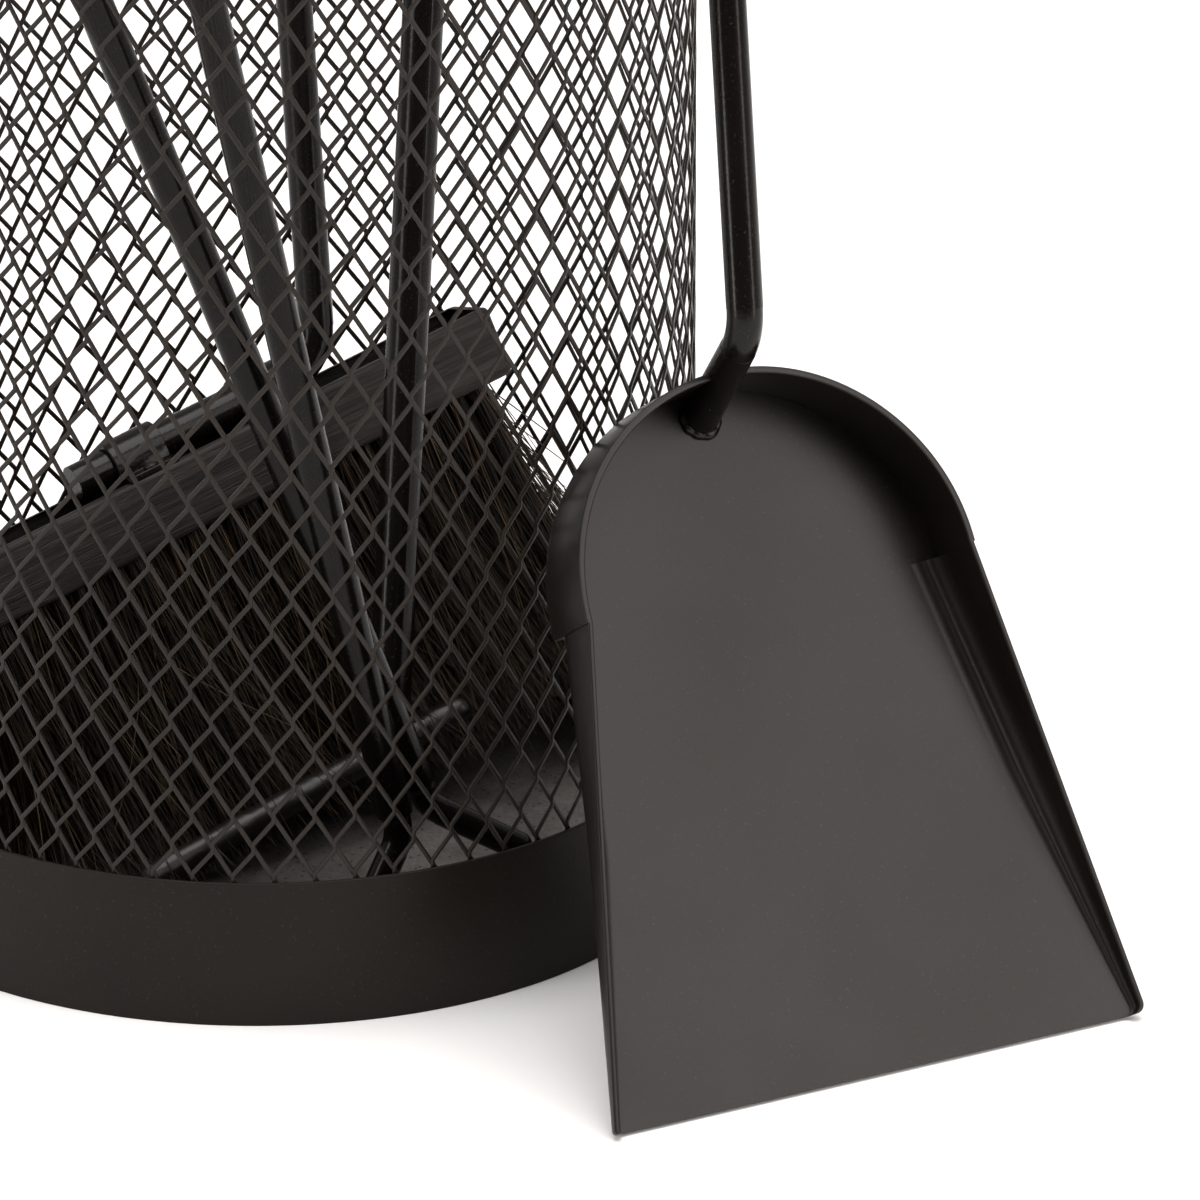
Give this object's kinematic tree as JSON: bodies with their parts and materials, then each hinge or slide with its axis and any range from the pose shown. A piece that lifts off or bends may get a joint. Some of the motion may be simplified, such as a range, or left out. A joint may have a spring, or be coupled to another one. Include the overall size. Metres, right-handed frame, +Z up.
{
  "type": "fireplace tool set",
  "caption": "Open mesh basket with a solid base band that holds a poker, a brush and scissor tongs, with a long-handled shovel leaning on its rim.",
  "frame": {"origin": "centre of the basket's underside, on the hearth", "axes": "+Z up along the basket's axis, -Y to the front, with the shovel at the front right"},
  "size_m": [0.4209, 0.3875, 0.671],
  "materials": {
    "mesh_steel": "satin black powder coat on expanded steel",
    "band_steel": "satin black powder coat",
    "floor_steel": "matt black powder coat, dusty",
    "shaft_steel": "satin black powder coat",
    "pan_steel": "satin black powder coat on sheet steel",
    "grip_steel": "semi-gloss black powder coat",
    "fixing_steel": "satin black",
    "stained_wood": "black stain, open grain",
    "bristle": "dark brown plant fibre",
    "felt": "pressed felt"
  },
  "bodies": {
    "stand": {"mesh_wall": "mesh_steel", "base_band": "band_steel", "floor_plate": "floor_steel", "foot_pad": "felt", "top_rim": "band_steel"},
    "poker": {"poker_shaft": "shaft_steel", "poker_crossbar": "shaft_steel", "poker_grip": "grip_steel", "poker_cap": "grip_steel"},
    "brush": {"brush_block": "stained_wood", "brush_bristles": "bristle", "brush_shaft": "shaft_steel", "brush_clips": "shaft_steel", "brush_screws": "fixing_steel", "brush_grip": "grip_steel", "brush_cap": "grip_steel"},
    "tongs": {"tongs_back_leg": "shaft_steel", "tongs_pin": "fixing_steel", "tongs_washer": "fixing_steel", "tongs_back_grip": "grip_steel", "tongs_back_cap": "grip_steel"},
    "tongs_front": {"tongs_front_leg": "shaft_steel", "tongs_front_grip": "grip_steel", "tongs_front_cap": "grip_steel"},
    "shovel": {"shovel_pan": "pan_steel", "shovel_arch_wall": "pan_steel", "shovel_shaft": "shaft_steel", "shovel_weld": "pan_steel", "shovel_grip": "grip_steel", "shovel_cap": "grip_steel"}
  },
  "joints": [
    {"name": "poker_lift", "type": "slide", "parent": "stand", "child": "poker", "axis": [0, 0, 1], "range_m": [0, 0.33]},
    {"name": "brush_lift", "type": "slide", "parent": "stand", "child": "brush", "axis": [-0.1183, 0.1183, 0.9859], "range_m": [0, 0.1]},
    {"name": "tongs_lift", "type": "slide", "parent": "stand", "child": "tongs", "axis": [0, 0, 1], "range_m": [0, 0.33]},
    {"name": "tongs_open", "type": "hinge", "parent": "tongs", "child": "tongs_front", "pos_m": [-0.07979, -0.10932, 0.48282], "axis": [0, -0.9943, -0.1063], "range_deg": [0, 6]},
    {"name": "shovel_lift", "type": "slide", "parent": "stand", "child": "shovel", "axis": [0.0222, -0.0202, 0.9996], "range_m": [0, 0.4]}
  ]
}
